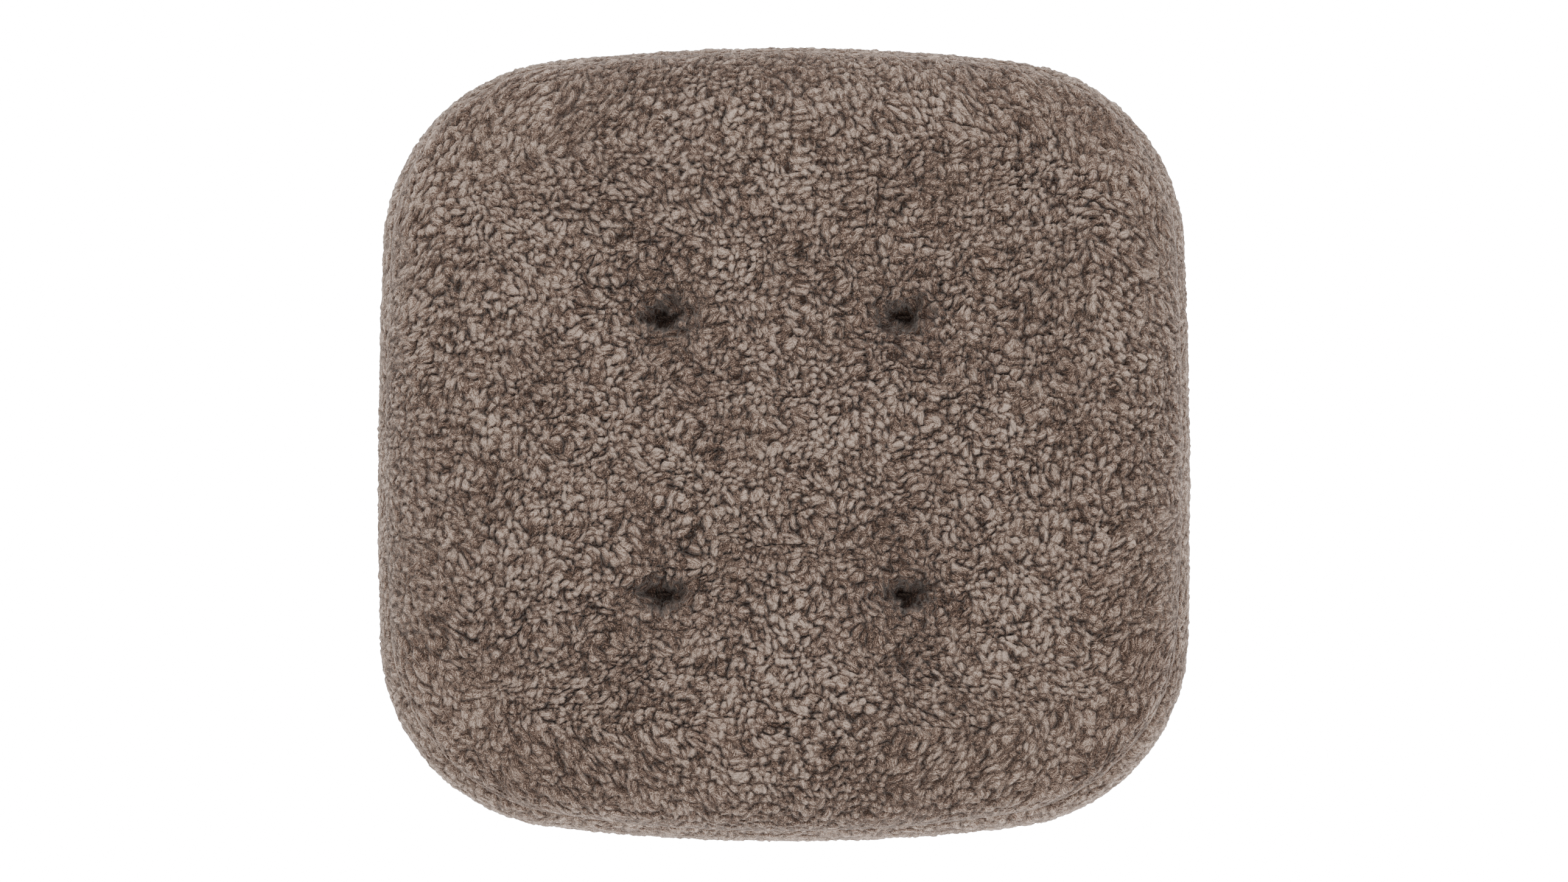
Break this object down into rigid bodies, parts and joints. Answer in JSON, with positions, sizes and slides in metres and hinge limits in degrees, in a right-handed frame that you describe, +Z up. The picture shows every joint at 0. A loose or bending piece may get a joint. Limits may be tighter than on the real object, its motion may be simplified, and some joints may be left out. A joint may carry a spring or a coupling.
{
  "type": "chair seat pad",
  "caption": "Square, round-cornered chair seat pad with a curly shearling top and side band, tufted with twine to buttons under a flat cloth base.",
  "frame": {"origin": "middle of the flat resting face", "axes": "+Z up through the crown, +Y towards the rear of the seat, +X to the right of someone facing the rear"},
  "size_m": [0.4, 0.393, 0.06],
  "materials": {
    "shearling": "matte",
    "base_cloth": "matte",
    "foam": "matte",
    "wadding": "matte",
    "sewing_thread": "matte",
    "waxed_twine": "satin",
    "button": "satin"
  },
  "bodies": {
    "root": {"top_panel": "shearling", "side_band": "shearling", "base_panel": "base_cloth", "foam_core": "foam", "upper_wadding": "wadding", "lower_wadding": "wadding", "edge_wadding": "wadding", "top_seam_thread": "sewing_thread", "base_seam_thread": "sewing_thread", "closing_stitches": "sewing_thread", "front_left_twine": "waxed_twine", "front_right_twine": "waxed_twine", "rear_left_twine": "waxed_twine", "rear_right_twine": "waxed_twine", "front_left_button": "button", "front_right_button": "button", "rear_left_button": "button", "rear_right_button": "button"}
  },
  "joints": []
}
